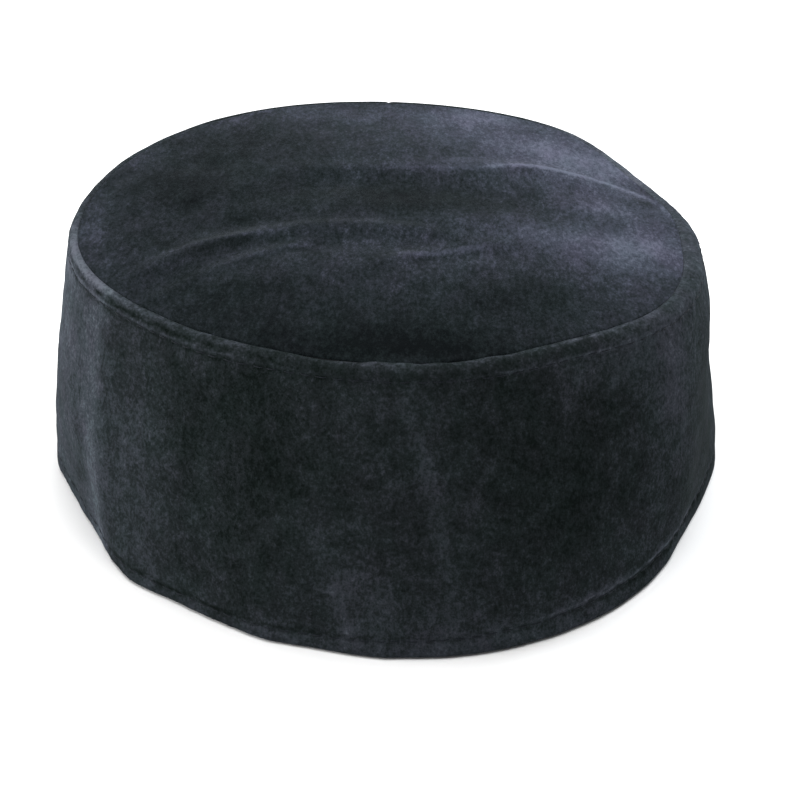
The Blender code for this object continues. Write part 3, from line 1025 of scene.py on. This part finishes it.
def velvet(name, lightness, stretch, sheen, tint, fineness):
    """Black cut pile: near black to blue grey by its tone, which holds pile marks and painted sheen and
    shade.
    """
    graph = Graph(name, stretch)
    grain = graph.noise(2400, 2.0, 0.6)
    tufts = graph.noise(1000, 3.0, 0.75)
    blotches = graph.noise(280, 2.0, 0.6)
    clouds = graph.noise(75, 4.0, 0.62)
    # Per-point tone of pile marks, painted sheen and painted shade
    pile_and_painted_light = graph.attribute("pile_and_painted_light")
    uneven = graph.math("ADD", graph.scaled(clouds, 1.00), graph.scaled(blotches, 0.80))
    uneven = graph.math("ADD", uneven, graph.scaled(tufts, 1.50 * fineness))
    uneven = graph.math("ADD", uneven, graph.scaled(grain, 0.70 * fineness))
    calm = graph.math("MULTIPLY", graph.math("MAXIMUM", pile_and_painted_light, 0.0), -PALE_CALM)
    uneven = graph.math("MULTIPLY", uneven, graph.math("ADD", calm, 1.0))
    tone = graph.math("ADD", graph.math("ADD", pile_and_painted_light, lightness), uneven)
    stops = [(level, [part * share for part, share in zip(colour, tint)]) for level, colour in PILE_AND_PAINTED_SHEEN_COLOURS]
    colour = graph.ramp(graph.math("MULTIPLY", tone, 0.5), stops)
    hue = graph.ramp(graph.noise(110, 3.0, 0.6), ((0.35, COOL), (0.65, WARM)))
    colour = graph.multiplied(colour, hue)
    graph.link(colour, graph.shader.inputs["Base Color"])
    pile = graph.math("ADD", graph.scaled(tufts, 1.0), graph.scaled(grain, 0.35))
    graph.link(graph.bump(pile, 0.3, 0.0004), graph.shader.inputs["Normal"])
    graph.set(Roughness=1.0, Specular_IOR_Level=0.0, Sheen_Weight=sheen, Sheen_Roughness=0.32)
    graph.set(Sheen_Tint=(0.84, 0.92, 1.0, 1.0))
    return graph.material


def velvet_back(name):
    """The woven back of the velvet, seen inside the cap."""
    graph = Graph(name)
    weave = graph.noise(1500, 2.0, 0.5)
    clouds = graph.noise(80, 3.0, 0.6)
    tone = graph.math("ADD", graph.scaled(weave, 0.8), graph.scaled(clouds, 0.6))
    colour = graph.ramp(
        graph.math("ADD", tone, 0.5),
        ((0.0, (0.010, 0.011, 0.013)), (1.0, (0.034, 0.037, 0.043))),
    )
    graph.link(colour, graph.shader.inputs["Base Color"])
    graph.link(graph.bump(weave, 0.5, 0.0003), graph.shader.inputs["Normal"])
    graph.set(Roughness=0.9, Specular_IOR_Level=0.15, Sheen_Weight=0.1, Sheen_Roughness=0.4)
    return graph.material


def thread(name):
    graph = Graph(name)
    twist = graph.noise(4200, 1.0, 0.5)
    colour = graph.ramp(twist, ((0.3, (0.006, 0.008, 0.011)), (0.7, (0.013, 0.017, 0.022))))
    graph.link(colour, graph.shader.inputs["Base Color"])
    graph.link(graph.bump(twist, 0.5, 0.0001), graph.shader.inputs["Normal"])
    graph.set(Roughness=0.7, Specular_IOR_Level=0.12, Sheen_Weight=0.05, Sheen_Roughness=0.3)
    return graph.material


def area_light(lamp):
    data = bpy.data.lights.new(lamp.name, "AREA")
    data.shape = "SQUARE"
    data.size = lamp.side
    data.energy = lamp.power
    data.color = lamp.colour
    holder = bpy.data.objects.new(lamp.name, data)
    holder.location = lamp.place
    way = np.array(LAMP_TARGET) - np.array(lamp.place)
    holder.rotation_euler = Vector(way).to_track_quat("-Z", "Y").to_euler()
    bpy.context.scene.collection.objects.link(holder)


def floor():
    graph = Graph("floor_paint")
    speck = graph.noise(40, 2.0, 0.5)
    paint = graph.ramp(speck, ((0.0, (0.90, 0.90, 0.90)), (1.0, (0.93, 0.93, 0.93))))
    graph.link(paint, graph.shader.inputs["Base Color"])
    graph.set(Roughness=0.9, Specular_IOR_Level=0.1)
    data = bpy.data.meshes.new("floor")
    reach = 4.0
    corners = [(-reach, -reach, 0), (reach, -reach, 0), (reach, reach, 0), (-reach, reach, 0)]
    data.from_pydata(corners, [], [(0, 1, 2, 3)])
    data.materials.append(graph.material)
    plane = bpy.data.objects.new("floor", data)
    bpy.context.scene.collection.objects.link(plane)


# The photo's camera, worked out from the cap's outline: degrees above the ground, and metres
EYE_ELEVATION = 31.8
EYE_DISTANCE = 0.53
EYE_TARGET = (0.0036, 0.0012, 0.0112)
LENS = 90.0


def camera():
    elevation = math.radians(EYE_ELEVATION)
    data = bpy.data.cameras.new("camera")
    data.lens = LENS
    data.sensor_width = 36.0
    data.clip_start = 0.01
    data.clip_end = 50.0
    eye = bpy.data.objects.new("camera", data)
    eye.location = (
        EYE_TARGET[0],
        EYE_TARGET[1] - EYE_DISTANCE * math.cos(elevation),
        EYE_TARGET[2] + EYE_DISTANCE * math.sin(elevation),
    )
    eye.rotation_euler = (math.pi / 2 - elevation, 0.0, 0.0)
    bpy.context.scene.collection.objects.link(eye)
    bpy.context.scene.camera = eye


# Area lights, all turned to the middle of the cap, with sides in metres and power in watts
Lamp = namedtuple("Lamp", "name place side power colour")
LAMPS = (
    Lamp("overhead", (0.0, 0.15, 1.2), 1.2, 20.5, (1.0, 1.0, 1.0)),
    Lamp("left window", (-0.75, -0.05, 0.25), 0.4, 4.8, (1.0, 1.0, 1.0)),
    Lamp("rear right lamp", (0.30, 0.22, 0.22), 0.18, 1.2, (0.92, 0.96, 1.0)),
)
LAMP_TARGET = (0.0, 0.0, 0.04)
ROOM_LIGHT = 0.22


def lighting():
    scene = bpy.context.scene
    scene.view_settings.view_transform = "Standard"
    world = bpy.data.worlds.new("room")
    world.use_nodes = True
    world.node_tree.nodes["Background"].inputs["Color"].default_value = (1.0, 1.0, 1.0, 1.0)
    world.node_tree.nodes["Background"].inputs["Strength"].default_value = ROOM_LIGHT
    scene.world = world
    for lamp in LAMPS:
        area_light(lamp)


def finish_cap():
    # One velvet in two copies for the top and the side: their tones and tints differ as painted light, and
    # their sheen weights differ
    top_velvet = velvet("velvet_top", TOP_LIGHTNESS, (1.0, 0.5, 1.0), 0.13, (1.0, 0.955, 1.045), 1.25)
    side_velvet = velvet("velvet_side", SIDE_LIGHTNESS, (1.0, 1.0, 0.85), 0.035, (1.015, 1.01, 0.965), 1.2)
    back = velvet_back("velvet_back")
    sewing = thread("sewing_thread")

    band = cloth_mesh("velvet_band", band_points(), None, (side_velvet, back), side_pile_and_painted_light)
    crown_shape = crown_points()
    middle = float(crown_shape[2][:, 0].mean())
    ends = (middle, middle - PANEL)
    crown = cloth_mesh("velvet_crown", crown_shape, ends, (top_velvet, back), top_painted_light)

    crown_stitches = stitch_row("crown_topstitch", top_row_radius, top_row_place, sewing)
    hem_stitches = stitch_row("hem_stitch", hem_row_radius, hem_row_place, sewing)

    for piece in (band, crown, crown_stitches, hem_stitches):
        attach(piece, "root")
    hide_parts("side_band")
    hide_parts("crown_tip")


camera()
floor()
lighting()
finish_cap()
